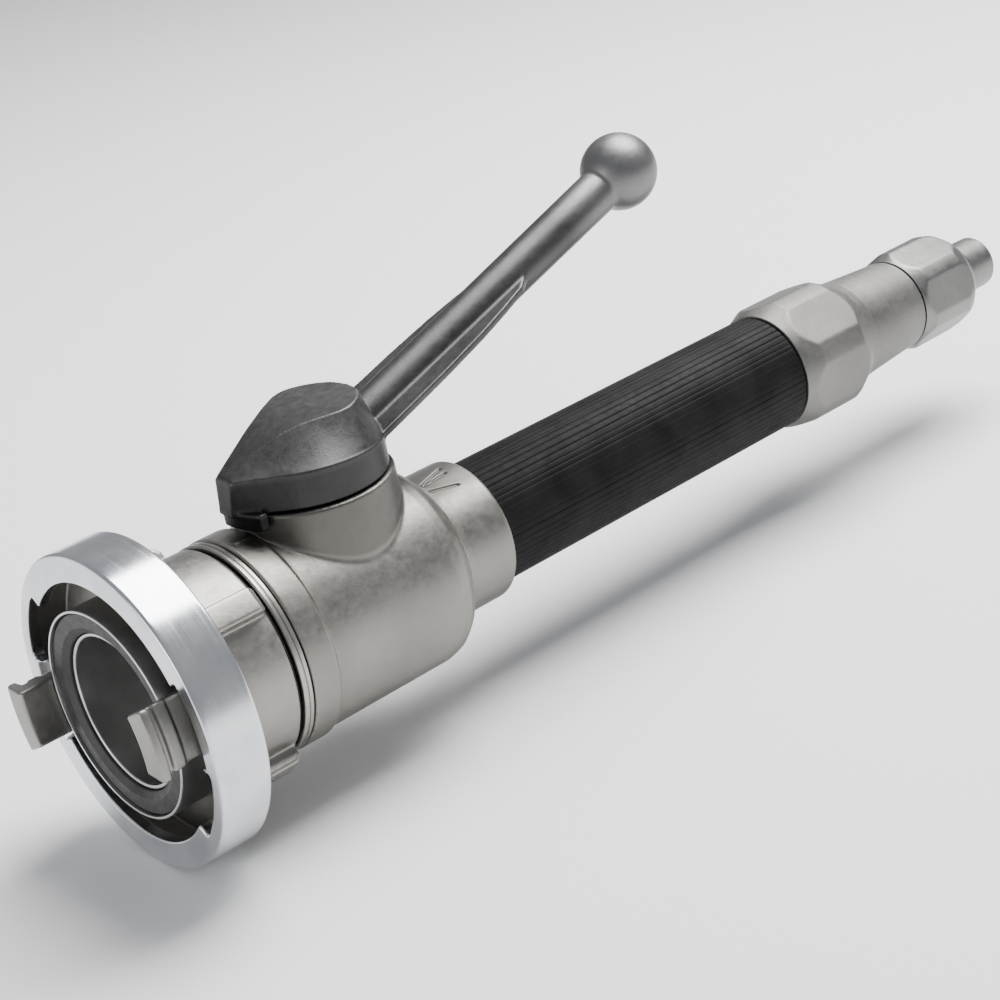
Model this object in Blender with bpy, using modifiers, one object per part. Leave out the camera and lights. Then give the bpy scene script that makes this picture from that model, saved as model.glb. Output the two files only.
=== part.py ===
"""Multi-purpose fire hose nozzle: swivel claw coupling, lever ball valve, ribbed barrel, spray head.

Frame: +X runs along the waterway from the coupling face (x = 0) to the mouthpiece tip, +Z is the
valve stem, the origin is the centre of the coupling ring's front face. All sizes are in metres.
"""
import math

import bmesh
import bpy
from mathutils import Matrix, Vector

MM = 0.001
GAP = 0.3 * MM                  # clearance between touching pieces

# ---- driving dimensions ----------------------------------------------------------------------
RING_R = 49.2 * MM              # coupling ring, outside
RING_LENGTH = 17.0 * MM
FLANGE_R = 40.5 * MM            # opening of the ring's front flange
GROOVE_R = 45.2 * MM            # locking groove behind the flange
SKIRT_R = 33.6 * MM             # cast skirt behind the ring
SKIRT_END = 39.6 * MM
CLAW_ANGLES = (-11, 169)        # degrees from +Y towards +Z
CLAW_SWEEP = 30
CLAW_REACH = -12.0 * MM
POCKET_ANGLES = (23.5, 203.5)
POCKET_SWEEP = 33
POCKET_R = GROOVE_R - 0.3 * MM
PAD_ANGLES = (-44, 46, 135, 226)
PAD_SWEEP = 12.5

BORE_R = 23.2 * MM              # waterway at the coupling
NECK_R = 28.9 * MM              # bearing neck that the ring turns on
HEAD_R = 32.6 * MM
BODY_FRONT = 44.7 * MM
BODY_R = 33.0 * MM
BODY_FLANGE_R = 34.2 * MM
BODY_END = 133.0 * MM
COLLAR_R = 23.6 * MM
CAVITY_R = 27.3 * MM
SHOULDER = 104.7 * MM           # rear wall of the ball chamber
SOCKET_R = 17.5 * MM            # threaded socket for the barrel

STEM_X = 79.84 * MM
BOSS_R = 25.6 * MM
BOSS_TOP = 40.2 * MM
BALL_R = 25.6 * MM
BALL_BORE_R = 13.5 * MM
STEM_R = 8.6 * MM

HUB_BOTTOM = 40.8 * MM
HUB_CREASE = 51.6 * MM
HUB_R = 24.3 * MM
HUB_TIP_X = 49.5 * MM
HUB_TIP_HALF = 3.3 * MM
HUB_TOP = 62.7 * MM
HUB_FAR_SIDE = ((49.5, 3.3), (55, 4.6), (60, 8.0), (66, 13.0), (72, 17.8), (78, 21.9), (84, 23.9))
HUB_LINE_STEPS = 3
HUB_ARC_STEPS = 12
RIDGE_START = 50.8 * MM         # the hub's top face, from the pointer's tip to its round back
RIDGE_END = 100.0 * MM
RIDGE_ROUND_R = 16.0 * MM
RIDGE_LOW = 52.2 * MM
STOP_PIN_OFFSET = 19.0 * MM     # across from the stem, towards +Y
KNOB_CENTRE = Vector((219.8, 0.0, 90.2)) * MM
KNOB_R = 12.5 * MM
ROD_ROOT = Vector((92.0, 0.0, 46.5)) * MM
FIN_OUTLINE = ((0, 14.8), (14, 14.8), (36, 14.5), (54, 13.5), (66, 12.1), (76, 10.4), (82, 6.4))

BARREL_R = 17.2 * MM
GRIP_START = 133.4 * MM
GRIP_END = 272.0 * MM
GRIP_CREST_R = 20.5 * MM
GRIP_VALLEY_R = 19.7 * MM
GRIP_RIBS = 40
HEAD_START = 272.6 * MM
HEX_R = 23.7 * MM               # turned corners of the spray head's hexagon
HEX_FLAT = 22.2 * MM
HEX_FLAT_ANGLE = 131
JOINT_X = 342.3 * MM            # where the mouthpiece meets the spray head
SMALL_HEX_R = 18.6 * MM
SMALL_HEX_FLAT = 17.3 * MM
SMALL_HEX_FLAT_ANGLE = 167
TIP_X = 392.0 * MM
JET_R = 4.5 * MM

STEPS = 40                      # segments round a large turned piece
SMALL_STEPS = 24
SHARP = math.radians(35)

PARTS = "fire_hose_nozzle"
CUTTERS = "cutters"


# ---- scene helpers ---------------------------------------------------------------------------
def clear_scene():
    for obj in list(bpy.data.objects):
        bpy.data.objects.remove(obj, do_unlink=True)
    for name in (PARTS, CUTTERS):
        collection = bpy.data.collections.new(name)
        bpy.context.scene.collection.children.link(collection)


def finish_material(name, colour, roughness, metallic):
    material = bpy.data.materials.new(name)
    material.use_nodes = True
    shader = material.node_tree.nodes["Principled BSDF"]
    shader.inputs["Base Color"].default_value = (*colour, 1.0)
    shader.inputs["Roughness"].default_value = roughness
    shader.inputs["Metallic"].default_value = metallic
    return material


CAST_ALUMINIUM = ((0.52, 0.51, 0.49), 0.42, 1.0)
DARK_CASTING = ((0.28, 0.28, 0.27), 0.48, 1.0)
TURNED_ALUMINIUM = ((0.80, 0.81, 0.83), 0.22, 1.0)
BRASS = ((0.72, 0.55, 0.26), 0.3, 1.0)
STEEL = ((0.62, 0.62, 0.63), 0.28, 1.0)
RUBBER = ((0.03, 0.03, 0.03), 0.6, 0.0)
GRIP_PLASTIC = ((0.025, 0.025, 0.026), 0.5, 0.0)
SEAT_PLASTIC = ((0.86, 0.85, 0.8), 0.45, 0.0)


def add_object(name, mesh, finish=None, matrix=None):
    """Links a mesh as a named part, or as a cutter when it has no finish."""
    obj = bpy.data.objects.new(name, mesh)
    if matrix is not None:
        obj.matrix_world = matrix
    home = PARTS if finish else CUTTERS
    bpy.data.collections[home].objects.link(obj)
    if finish:
        mesh.materials.append(finish_material(name + "_finish", *finish))
        mesh.shade_smooth()
        mesh.set_sharp_from_angle(angle=SHARP)
    else:
        obj.hide_render = True
        obj.display_type = "WIRE"
    return obj


def boolean(obj, tool, operation="DIFFERENCE"):
    modifier = obj.modifiers.new(tool.name, "BOOLEAN")
    modifier.operation = operation
    modifier.solver = "EXACT"
    modifier.object = tool


# ---- shapes ----------------------------------------------------------------------------------
ALONG_X = Matrix.Rotation(math.radians(90), 4, "Y")     # local Z to world X


def turned(name, profile, finish=None, steps=STEPS, matrix=ALONG_X):
    """Turns a closed profile of (distance along the axis, radius) points round the axis."""
    area = sum(a[0] * b[1] - b[0] * a[1] for a, b in zip(profile, profile[1:] + profile[:1]))
    if area < 0:
        profile = profile[::-1]
    mesh = bpy.data.meshes.new(name)
    bm = bmesh.new()
    points = [bm.verts.new((radius, 0.0, along)) for along, radius in profile]
    for first, second in zip(points, points[1:] + points[:1]):
        bm.edges.new((first, second))
    bm.to_mesh(mesh)
    bm.free()
    obj = add_object(name, mesh, finish, matrix)
    screw = obj.modifiers.new("turn", "SCREW")
    screw.axis = "Z"
    screw.angle = math.tau
    screw.steps = steps
    screw.render_steps = steps
    screw.use_merge_vertices = True
    screw.merge_threshold = 0.00001
    screw.use_smooth_shade = True
    return obj


def from_bmesh(name, bm, finish=None, matrix=None):
    mesh = bpy.data.meshes.new(name)
    bm.to_mesh(mesh)
    bm.free()
    return add_object(name, mesh, finish, matrix)


def cylinder(name, radius, length, matrix, finish=None, segments=SMALL_STEPS, end_radius=None):
    bm = bmesh.new()
    last = radius if end_radius is None else end_radius
    bmesh.ops.create_cone(bm, cap_ends=True, segments=segments, radius1=radius, radius2=last,
                          depth=length)
    return from_bmesh(name, bm, finish, matrix)


def box(name, size, matrix, finish=None):
    bm = bmesh.new()
    bmesh.ops.create_cube(bm, size=1.0)
    bmesh.ops.scale(bm, vec=size, verts=bm.verts)
    return from_bmesh(name, bm, finish, matrix)


def sphere(name, radius, matrix, finish=None, rows=12):
    bm = bmesh.new()
    bmesh.ops.create_uvsphere(bm, u_segments=rows * 2, v_segments=rows, radius=radius)
    return from_bmesh(name, bm, finish, matrix)


def wedge(name, centre_angle, sweep, reach, start, length):
    """A sector prism about X: angles run from +Y towards +Z."""
    steps = 4
    corners = [(0.0, 0.0)]
    for step in range(steps + 1):
        angle = math.radians(centre_angle + sweep * (step / steps - 0.5))
        corners.append((reach * math.cos(angle), reach * math.sin(angle)))
    bm = bmesh.new()
    face = bm.faces.new([bm.verts.new((start, y, z)) for y, z in corners])
    pushed = bmesh.ops.extrude_face_region(bm, geom=[face])["geom"]
    moved = [item for item in pushed if isinstance(item, bmesh.types.BMVert)]
    bmesh.ops.translate(bm, vec=(length, 0.0, 0.0), verts=moved)
    bmesh.ops.recalc_face_normals(bm, faces=bm.faces)
    return from_bmesh(name, bm)


def hexagon(name, flat_radius, flat_angle, start, length):
    """A hexagonal prism about X with one flat facing flat_angle."""
    corner_radius = flat_radius / math.cos(math.pi / 6)
    turn = Matrix.Rotation(math.radians(flat_angle + 30), 4, "X")
    place = Matrix.Translation((start + length / 2, 0.0, 0.0)) @ turn
    # A cone's first corner lies on local +Y, which ALONG_X leaves on world +Y.
    return cylinder(name, corner_radius, length, place @ ALONG_X, segments=6)


def arc(centre, radius, first, last, steps):
    """Points on a circle in the (along, radius) plane, angles in degrees."""
    points = []
    for step in range(steps + 1):
        angle = math.radians(first + (last - first) * step / steps)
        points.append((centre[0] + radius * math.cos(angle), centre[1] + radius * math.sin(angle)))
    return points


def mm(points):
    return [(along * MM, radius * MM) for along, radius in points]


def ring(name, start, end, inner, outer, finish, matrix=ALONG_X, steps=STEPS):
    return turned(name, [(start, outer), (end, outer), (end, inner), (start, inner)],
                  finish, steps, matrix)


def o_ring(name, along, radius, thickness, finish, matrix=ALONG_X, steps=20):
    return turned(name, arc((along, radius), thickness, 0, 300, 5), finish, steps, matrix)


# ---- coupling --------------------------------------------------------------------------------
def build_coupling():
    groove = (4.2 * MM, 13.5 * MM)
    bearing = NECK_R + 0.4 * MM
    ring_body = turned("coupling_ring", [
        (0.0, FLANGE_R), (0.0, RING_R - 1.2 * MM), (0.5 * MM, RING_R - 0.3 * MM), (1.3 * MM, RING_R),
        (RING_LENGTH - 0.8 * MM, RING_R), (RING_LENGTH, RING_R - 0.9 * MM),
        (RING_LENGTH, SKIRT_R + 3.0 * MM), (RING_LENGTH + 1.0 * MM, SKIRT_R + 1.0 * MM),
        (RING_LENGTH + 3.0 * MM, SKIRT_R),
        (SKIRT_END - 0.7 * MM, SKIRT_R), (SKIRT_END, SKIRT_R - 0.7 * MM), (SKIRT_END, bearing),
        (groove[1], bearing), (groove[1], GROOVE_R), (groove[0], GROOVE_R), (groove[0], FLANGE_R),
    ], CAST_ALUMINIUM)
    for angle in POCKET_ANGLES:
        blank = turned(f"pocket_blank_{angle:.0f}", [
            (-2 * MM, 30 * MM), (-2 * MM, POCKET_R), (5 * MM, POCKET_R), (5 * MM, 30 * MM)])
        boolean(blank, wedge(f"pocket_wedge_{angle:.0f}", angle, POCKET_SWEEP, 0.08, -0.01, 0.02),
                "INTERSECT")
        boolean(ring_body, blank)
    for index, angle in enumerate(CLAW_ANGLES):
        claw = turned(f"claw_{index}", [
            (CLAW_REACH, 33.4 * MM), (CLAW_REACH, 41.6 * MM), (CLAW_REACH + 3.4 * MM, 41.6 * MM),
            (CLAW_REACH + 4.2 * MM, 39.2 * MM), (14.6 * MM, 39.2 * MM), (14.6 * MM, 33.4 * MM)])
        boolean(claw, wedge(f"claw_wedge_{index}", angle, CLAW_SWEEP, 0.08, -0.02, 0.04),
                "INTERSECT")
        boolean(ring_body, claw, "UNION")
    for index, angle in enumerate(PAD_ANGLES):
        pad = turned(f"pad_{index}", [
            (16 * MM, SKIRT_R - 2 * MM), (16 * MM, 38.8 * MM), (36.5 * MM, 38.8 * MM),
            (38.5 * MM, 36.8 * MM), (38.5 * MM, SKIRT_R - 2 * MM)])
        boolean(pad, wedge(f"pad_wedge_{index}", angle, PAD_SWEEP, 0.08, 0.0, 0.05), "INTERSECT")
        boolean(ring_body, pad, "UNION")

    tail_end = 55.0 * MM
    turned("coupling_tail", [
        (-1.3 * MM, 31.8 * MM), (-1.3 * MM, HEAD_R - 0.3 * MM), (-1.0 * MM, HEAD_R),
        (12.9 * MM, HEAD_R), (12.9 * MM, NECK_R),
        (BODY_FRONT - GAP, NECK_R), (BODY_FRONT - GAP, CAVITY_R - GAP), (tail_end, CAVITY_R - GAP),
        (tail_end, 20.0 * MM), (48.0 * MM, 20.0 * MM), (40.0 * MM, BORE_R),
        (1.6 * MM, BORE_R), (1.6 * MM, 24.4 * MM), (6.0 * MM, 24.4 * MM), (6.0 * MM, 31.8 * MM),
    ], TURNED_ALUMINIUM)
    turned("coupling_gasket", [
        (-0.4 * MM, 27.0 * MM), (-0.4 * MM, 31.2 * MM), (0.0, 31.5 * MM), (5.7 * MM, 31.5 * MM),
        (5.7 * MM, 24.7 * MM), (1.0 * MM, 24.7 * MM)], RUBBER)
    ring("swivel_seal", SKIRT_END + GAP, 40.7 * MM, NECK_R + GAP, 32.4 * MM, RUBBER)
    turned("clamp_ring", [
        (41.0 * MM, NECK_R + GAP), (41.0 * MM, 33.4 * MM), (41.5 * MM, 33.9 * MM),
        (43.9 * MM, 33.9 * MM), (44.4 * MM, 33.4 * MM), (44.4 * MM, NECK_R + GAP)],
        TURNED_ALUMINIUM)


# ---- valve -----------------------------------------------------------------------------------
def stem_place(height=0.0):
    return Matrix.Translation((STEM_X, 0.0, height))


def build_valve():
    rear = BODY_END
    body = turned("valve_body", [
        (BODY_FRONT, CAVITY_R), (BODY_FRONT, BODY_FLANGE_R - 0.6 * MM),
        (BODY_FRONT + 0.6 * MM, BODY_FLANGE_R), (53.8 * MM, BODY_FLANGE_R),
        (54.8 * MM, BODY_R + 0.1 * MM), (102.5 * MM, BODY_R), (106.2 * MM, 32.2 * MM),
        (109.0 * MM, 30.3 * MM), (110.9 * MM, 27.6 * MM), (112.1 * MM, 25.4 * MM),
        (113.6 * MM, COLLAR_R + 0.4 * MM), (116.0 * MM, COLLAR_R),
        (rear - 2.4 * MM, COLLAR_R), (rear - 0.9 * MM, COLLAR_R - 0.7 * MM),
        (rear, COLLAR_R - 2.0 * MM), (rear, SOCKET_R), (108.0 * MM, SOCKET_R),
        (SHOULDER, 19.5 * MM), (SHOULDER, CAVITY_R),
    ], CAST_ALUMINIUM)
    boss = turned("boss_blank", [
        (20 * MM, 0.5 * MM), (20 * MM, BOSS_R + 0.3 * MM), (34 * MM, BOSS_R + 0.15 * MM),
        (BOSS_TOP - 1.3 * MM, BOSS_R), (BOSS_TOP - 0.4 * MM, BOSS_R - 0.35 * MM),
        (BOSS_TOP, BOSS_R - 1.1 * MM), (BOSS_TOP, 0.5 * MM)],
        matrix=stem_place())
    clear = cylinder("boss_trim", CAVITY_R + 1.5 * MM, 90 * MM,
                     Matrix.Translation((STEM_X - 3 * MM, 0, 0)) @ ALONG_X, segments=STEPS)
    boolean(boss, clear)
    boolean(body, boss, "UNION")
    stem_bore = turned("stem_bore", [
        (18 * MM, 0.0), (18 * MM, 11.2 * MM), (30.3 * MM, 11.2 * MM), (30.3 * MM, STEM_R + GAP),
        (45 * MM, STEM_R + GAP), (45 * MM, 0.0)], matrix=stem_place())
    boolean(body, stem_bore)
    pin_place = Matrix.Translation((STEM_X, STOP_PIN_OFFSET, 0.0))
    boolean(body, cylinder("pin_hole", 1.8 * MM, 12 * MM,
                           pin_place @ Matrix.Translation((0, 0, 40 * MM)), segments=16))
    cylinder("stop_pin", 1.5 * MM, 9.1 * MM, pin_place @ Matrix.Translation((0, 0, 38.85 * MM)),
             STEEL, segments=16)
    build_ball()
    build_stem()


def build_ball():
    place = stem_place()
    ball = sphere("valve_ball", BALL_R, place, STEEL)
    along = Matrix.Translation((STEM_X, 0, 0)) @ ALONG_X
    boolean(ball, cylinder("ball_bore", BALL_BORE_R, 60 * MM, along, segments=SMALL_STEPS))
    # The counterbored end feeds the outer passage when the lever is turned right round.
    mouth = Matrix.Translation((STEM_X - 24 * MM, 0, 0)) @ ALONG_X
    boolean(ball, cylinder("ball_mouth", 16.5 * MM, 16 * MM, mouth, segments=SMALL_STEPS))
    boolean(ball, box("ball_slot", (22 * MM, 6.6 * MM, 12 * MM), stem_place(25.5 * MM)))
    seat_ball_r = BALL_R + GAP
    for name, side in (("seat_front", -1), ("seat_rear", 1)):
        inner, lip = 16.0 * MM, 22.4 * MM
        first = math.degrees(math.asin(inner / seat_ball_r))
        last = math.degrees(math.asin(lip / seat_ball_r))
        cup = arc((0.0, 0.0), seat_ball_r, first, last, 3)
        top = cup[-1][0]
        flat = (STEM_X - 55.3 * MM) if side < 0 else (SHOULDER - GAP - STEM_X)
        outline = cup + [(top, CAVITY_R - GAP), (flat, CAVITY_R - GAP), (flat, inner)]
        turned(name, [(STEM_X + side * along_axis, radius) for along_axis, radius in outline],
               SEAT_PLASTIC)


def build_stem():
    flange = (26.0 * MM, 29.0 * MM)
    stem = turned("valve_stem", [
        (flange[0], 0.0), (flange[0], 10.9 * MM), (flange[1], 10.9 * MM), (flange[1], STEM_R),
        (32.2 * MM, STEM_R), (32.2 * MM, 7.0 * MM), (34.4 * MM, 7.0 * MM), (34.4 * MM, STEM_R),
        (36.0 * MM, STEM_R), (36.0 * MM, 7.0 * MM), (38.2 * MM, 7.0 * MM), (38.2 * MM, STEM_R),
        (40.5 * MM, STEM_R), (40.5 * MM, 0.0)],
        STEEL, SMALL_STEPS, stem_place())
    tongue = box("stem_tongue", (17 * MM, 6 * MM, 7.2 * MM), stem_place(23.4 * MM))
    drive = box("stem_drive", (12 * MM, 12 * MM, 15 * MM), stem_place(46.5 * MM))
    boolean(stem, tongue, "UNION")
    boolean(stem, drive, "UNION")
    for name, height in (("stem_o_ring_lower", 33.3 * MM), ("stem_o_ring_upper", 37.1 * MM)):
        o_ring(name, height, 7.95 * MM, 0.7 * MM, RUBBER, stem_place())
    ring("stem_washer", 29.0 * MM + GAP, 30.3 * MM - GAP, STEM_R + GAP, 10.9 * MM, SEAT_PLASTIC,
         stem_place(), SMALL_STEPS)


# ---- lever -----------------------------------------------------------------------------------
def hub_outline(inset):
    """Half of the hub's teardrop, tip first: a tangent from the tip, then an arc round the stem."""
    tip_x, tip_half = HUB_TIP_X + inset, HUB_TIP_HALF - inset / 2
    reach = math.hypot(STEM_X - tip_x, tip_half)
    touch = math.atan2(tip_half, tip_x - STEM_X) - math.acos((HUB_R - inset) / reach)
    touch_x = STEM_X + (HUB_R - inset) * math.cos(touch)
    touch_half = (HUB_R - inset) * math.sin(touch)
    points = []
    for step in range(HUB_LINE_STEPS):
        share = step / HUB_LINE_STEPS
        points.append((tip_x + (touch_x - tip_x) * share,
                       tip_half + (touch_half - tip_half) * share))
    for step in range(HUB_ARC_STEPS + 1):
        angle = touch * (1 - step / HUB_ARC_STEPS)
        points.append((STEM_X + (HUB_R - inset) * math.cos(angle),
                       (HUB_R - inset) * math.sin(angle)))
    return points


def far_half(along):
    """Half width of the teardrop on its +Y flank, which is drawn in towards the pointer."""
    for (x0, half0), (x1, half1) in zip(HUB_FAR_SIDE, HUB_FAR_SIDE[1:]):
        if along / MM < x1:
            return (half0 + (half1 - half0) * max(0.0, along / MM - x0) / (x1 - x0)) * MM
    return HUB_R


def ridge_point(share):
    """The edge of the hub's narrow top face, from the tip (0) to the back (1)."""
    along = RIDGE_START + (RIDGE_END - RIDGE_START) * share
    run = (along - RIDGE_START) / MM
    neck = run / 30.0
    width = (2.6 + 6.4 * neck + 5.9 * neck ** 3) * MM
    round_x = RIDGE_END - RIDGE_ROUND_R
    if along > round_x:
        width = math.sqrt(max(0.0, RIDGE_ROUND_R ** 2 - (along - round_x) ** 2))
    width = min(width, RIDGE_ROUND_R)
    height = min(HUB_TOP, RIDGE_LOW + (0.53 * run - 0.0045 * run ** 2) * MM)
    return along, width, height


def build_hub(name, finish):
    """Loft from the teardrop skirt to the narrow rising top face."""
    skirt, shoulder = hub_outline(0.0), hub_outline(0.5 * MM)
    back_x = STEM_X + HUB_R
    bm = bmesh.new()
    sides = []
    for side in (1, -1):
        low, crease, top = [], [], []
        for (low_x, low_half), (mid_x, mid_half) in zip(skirt, shoulder):
            share = (low_x - HUB_TIP_X) / (back_x - HUB_TIP_X)
            on_axis = low_half < 0.01 * MM
            if side < 0 and on_axis:
                continue
            fall = 1.6 * math.sin(math.pi * share) - 2.6 * share
            top_x, top_half, top_z = ridge_point(share)
            if side > 0:
                low_half, mid_half = min(low_half, far_half(low_x)), min(mid_half, far_half(mid_x))
            low.append(bm.verts.new((low_x, side * low_half, HUB_BOTTOM)))
            crease.append(bm.verts.new((mid_x, side * mid_half, HUB_CREASE + fall * MM)))
            top.append(bm.verts.new((top_x, 0.0 if on_axis else side * top_half, top_z)))
        sides.append((low, crease, top))
    left, right = sides
    loops = [one + other[::-1] for one, other in zip(left, right)]
    for lower, upper in zip(loops, loops[1:]):
        for index in range(len(lower)):
            after = (index + 1) % len(lower)
            bm.faces.new((lower[index], lower[after], upper[after], upper[index]))
    bm.faces.new(loops[0][::-1])
    left_top, right_top = left[2], right[2]
    for index in range(len(right_top) - 1):
        bm.faces.new((left_top[index], left_top[index + 1],
                      right_top[index + 1], right_top[index]))
    bm.faces.new((left_top[-2], left_top[-1], right_top[-1]))
    bmesh.ops.recalc_face_normals(bm, faces=bm.faces)
    return from_bmesh(name, bm, finish)


def build_fins(place):
    """A flat web through the lever's bar, standing out on both sides and tapering outwards."""
    outline = [(half, along) for along, half in FIN_OUTLINE]
    outline += [(-half, along) for half, along in outline[::-1]]
    bm = bmesh.new()
    layers = [[bm.verts.new(Vector((across, level, along)) * MM) for across, along in outline]
              for level in (-1.1, 1.1)]
    bm.faces.new(layers[0])
    bm.faces.new(layers[1][::-1])
    for index in range(len(outline)):
        after = (index + 1) % len(outline)
        bm.faces.new((layers[0][after], layers[0][index], layers[1][index], layers[1][after]))
    bmesh.ops.transform(bm, matrix=place, verts=bm.verts)
    bmesh.ops.recalc_face_normals(bm, faces=bm.faces)
    return from_bmesh("lever_fins", bm)


def build_lever():
    lever = build_hub("lever", DARK_CASTING)
    direction = (KNOB_CENTRE - ROD_ROOT).normalized()
    length = (KNOB_CENTRE - ROD_ROOT).length
    aim = direction.to_track_quat("Z", "Y").to_matrix().to_4x4()
    middle = Matrix.Translation((ROD_ROOT + KNOB_CENTRE) / 2) @ aim
    rod = cylinder("lever_rod", 6.3 * MM, length, middle, segments=24, end_radius=7.0 * MM)
    boolean(lever, rod, "UNION")
    boolean(lever, build_fins(Matrix.Translation(ROD_ROOT) @ aim), "UNION")
    boolean(lever, sphere("lever_knob", KNOB_R, Matrix.Translation(KNOB_CENTRE)), "UNION")
    lug = turned("lug_ring", [(36.4 * MM, 26.8 * MM), (36.4 * MM, 29.6 * MM),
                              (42 * MM, 29.6 * MM), (42 * MM, 26.8 * MM)], matrix=stem_place())
    lug_box = box("lug_box", (10 * MM, 15.8 * MM, 12 * MM),
                  stem_place(40 * MM) @ Matrix.Translation((-27 * MM, -4.6 * MM, 0)))
    boolean(lug, lug_box, "INTERSECT")
    boolean(lever, lug, "UNION")
    boolean(lever, box("drive_pocket", (12.6 * MM, 12.6 * MM, 16 * MM), stem_place(46.4 * MM)))
    track = turned("stop_track", [
        (38 * MM, 17 * MM), (38 * MM, 21 * MM), (44 * MM, 21 * MM), (44 * MM, 17 * MM)],
        matrix=stem_place())
    boolean(track, box("track_half", (30 * MM, 60 * MM, 20 * MM),
                       stem_place(42 * MM) @ Matrix.Translation((13.0 * MM, 0, 0))), "INTERSECT")
    boolean(lever, track)
    across = Matrix.Rotation(math.radians(-90), 4, "X")
    screw_place = stem_place(48.5 * MM)
    boolean(lever, cylinder("screw_hole", 2.8 * MM, 24 * MM, screw_place @ Matrix.Translation(
        (0, 17 * MM, 0)) @ across, segments=20))
    screw = cylinder("lever_grub_screw", 2.5 * MM, 15 * MM,
                     screw_place @ Matrix.Translation((0, 13.9 * MM, 0)) @ across, STEEL, 20)
    boolean(screw, cylinder("screw_socket", 1.4 * MM, 5 * MM, screw_place @ Matrix.Translation(
        (0, 20.9 * MM, 0)) @ across, segments=6))


# ---- barrel ----------------------------------------------------------------------------------
def build_barrel():
    carrier = turned("tube_carrier", mm([
        (106.5, 9.9), (106.5, 17.0), (108.4, 17.0), (108.4, 17.2), (116.0, 17.2), (116.0, 9.9)]),
        BRASS, SMALL_STEPS)
    holes = 6
    for index in range(holes):
        turn = Matrix.Rotation(math.tau * index / holes, 4, "X")
        place = turn @ Matrix.Translation((111 * MM, 0, 13.5 * MM)) @ ALONG_X
        boolean(carrier, cylinder(f"carrier_hole_{index}", 2.4 * MM, 14 * MM, place, segments=12))
    ring("inner_tube", 107.0 * MM, 338.0 * MM, 8.0 * MM, 9.6 * MM, TURNED_ALUMINIUM,
         steps=SMALL_STEPS)
    ring("barrel_gasket_rear", 116.3 * MM, 117.7 * MM, 15.1 * MM, BARREL_R, RUBBER,
         steps=SMALL_STEPS)
    ring("barrel_tube", 118.0 * MM, 296.0 * MM, 14.8 * MM, BARREL_R, TURNED_ALUMINIUM,
         steps=SMALL_STEPS)
    ring("barrel_gasket_front", 296.3 * MM, 297.7 * MM, 15.1 * MM, BARREL_R, RUBBER,
         steps=SMALL_STEPS)
    build_grip()


def build_grip():
    """A ribbed sleeve: one flat outline with a hole, extruded along the barrel."""
    curve = bpy.data.curves.new("grip_outline", "CURVE")
    curve.dimensions = "2D"
    curve.fill_mode = "BOTH"
    curve.extrude = (GRIP_END - GRIP_START) / 2
    outer, inner = [], []
    for index in range(GRIP_RIBS * 2):
        angle = math.tau * index / (GRIP_RIBS * 2)
        radius = GRIP_CREST_R if index % 2 else GRIP_VALLEY_R
        outer.append((radius * math.cos(angle), radius * math.sin(angle)))
        inner.append(((BARREL_R + GAP) * math.cos(angle), (BARREL_R + GAP) * math.sin(angle)))
    for outline in (outer, inner):
        spline = curve.splines.new("POLY")
        spline.points.add(len(outline) - 1)
        for point, (x, y) in zip(spline.points, outline):
            point.co = (x, y, 0.0, 1.0)
        spline.use_cyclic_u = True
    middle = Matrix.Translation(((GRIP_START + GRIP_END) / 2, 0, 0)) @ ALONG_X
    sleeve = bpy.data.objects.new("grip_blank", curve)
    bpy.data.collections[CUTTERS].objects.link(sleeve)
    sleeve.matrix_world = middle
    bpy.context.view_layer.update()
    evaluated = sleeve.evaluated_get(bpy.context.evaluated_depsgraph_get())
    mesh = bpy.data.meshes.new_from_object(evaluated)
    bm = bmesh.new()
    bm.from_mesh(mesh)
    bmesh.ops.remove_doubles(bm, verts=bm.verts, dist=0.00001)
    bmesh.ops.recalc_face_normals(bm, faces=bm.faces)
    bm.to_mesh(mesh)
    bm.free()
    mesh.name = "grip_sleeve"
    mesh.materials.clear()
    bpy.data.objects.remove(sleeve, do_unlink=True)
    add_object("grip_sleeve", mesh, GRIP_PLASTIC, middle)


# ---- spray head and mouthpiece ---------------------------------------------------------------
def build_head():
    spigot_end = 355.5 * MM
    head = turned("spray_head", [
        (HEAD_START, SOCKET_R), (HEAD_START, 20.8 * MM), (280.0 * MM, HEX_R), (301.0 * MM, HEX_R),
        (304.5 * MM, 22.0 * MM), (309.0 * MM, 19.8 * MM), (313.0 * MM, 18.8 * MM),
        (318.0 * MM, 18.3 * MM), (337.0 * MM, 17.0 * MM), (JOINT_X - 0.8 * MM, 16.8 * MM),
        (JOINT_X - GAP, 16.2 * MM), (JOINT_X - GAP, 14.0 * MM), (spigot_end, 14.0 * MM),
        (spigot_end, 11.6 * MM), (337.0 * MM, 11.6 * MM), (333.0 * MM, 14.9 * MM),
        (298.0 * MM, 14.9 * MM), (298.0 * MM, SOCKET_R)],
        CAST_ALUMINIUM)
    boolean(head, hexagon("head_hex", HEX_FLAT, HEX_FLAT_ANGLE, 0.26, 0.11), "INTERSECT")
    swirl = ring("swirl_body", 321.0 * MM, 331.0 * MM, 9.9 * MM, 14.6 * MM, BRASS,
                 steps=SMALL_STEPS)
    slots = 6
    for index in range(slots):
        turn = Matrix.Rotation(math.tau * index / slots, 4, "X")
        lean = Matrix.Rotation(math.radians(32), 4, "Z")
        place = turn @ Matrix.Translation((326 * MM, 0, 14.2 * MM)) @ lean
        boolean(swirl, box(f"swirl_slot_{index}", (22 * MM, 3 * MM, 4.4 * MM), place))
    turned("nozzle_insert", mm([
        (338.3, 8.0), (338.3, 9.6), (352.0, 9.6), (366.0, 7.6), (366.0, 6.0), (352.0, 6.6)]),
        BRASS, SMALL_STEPS)


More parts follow.
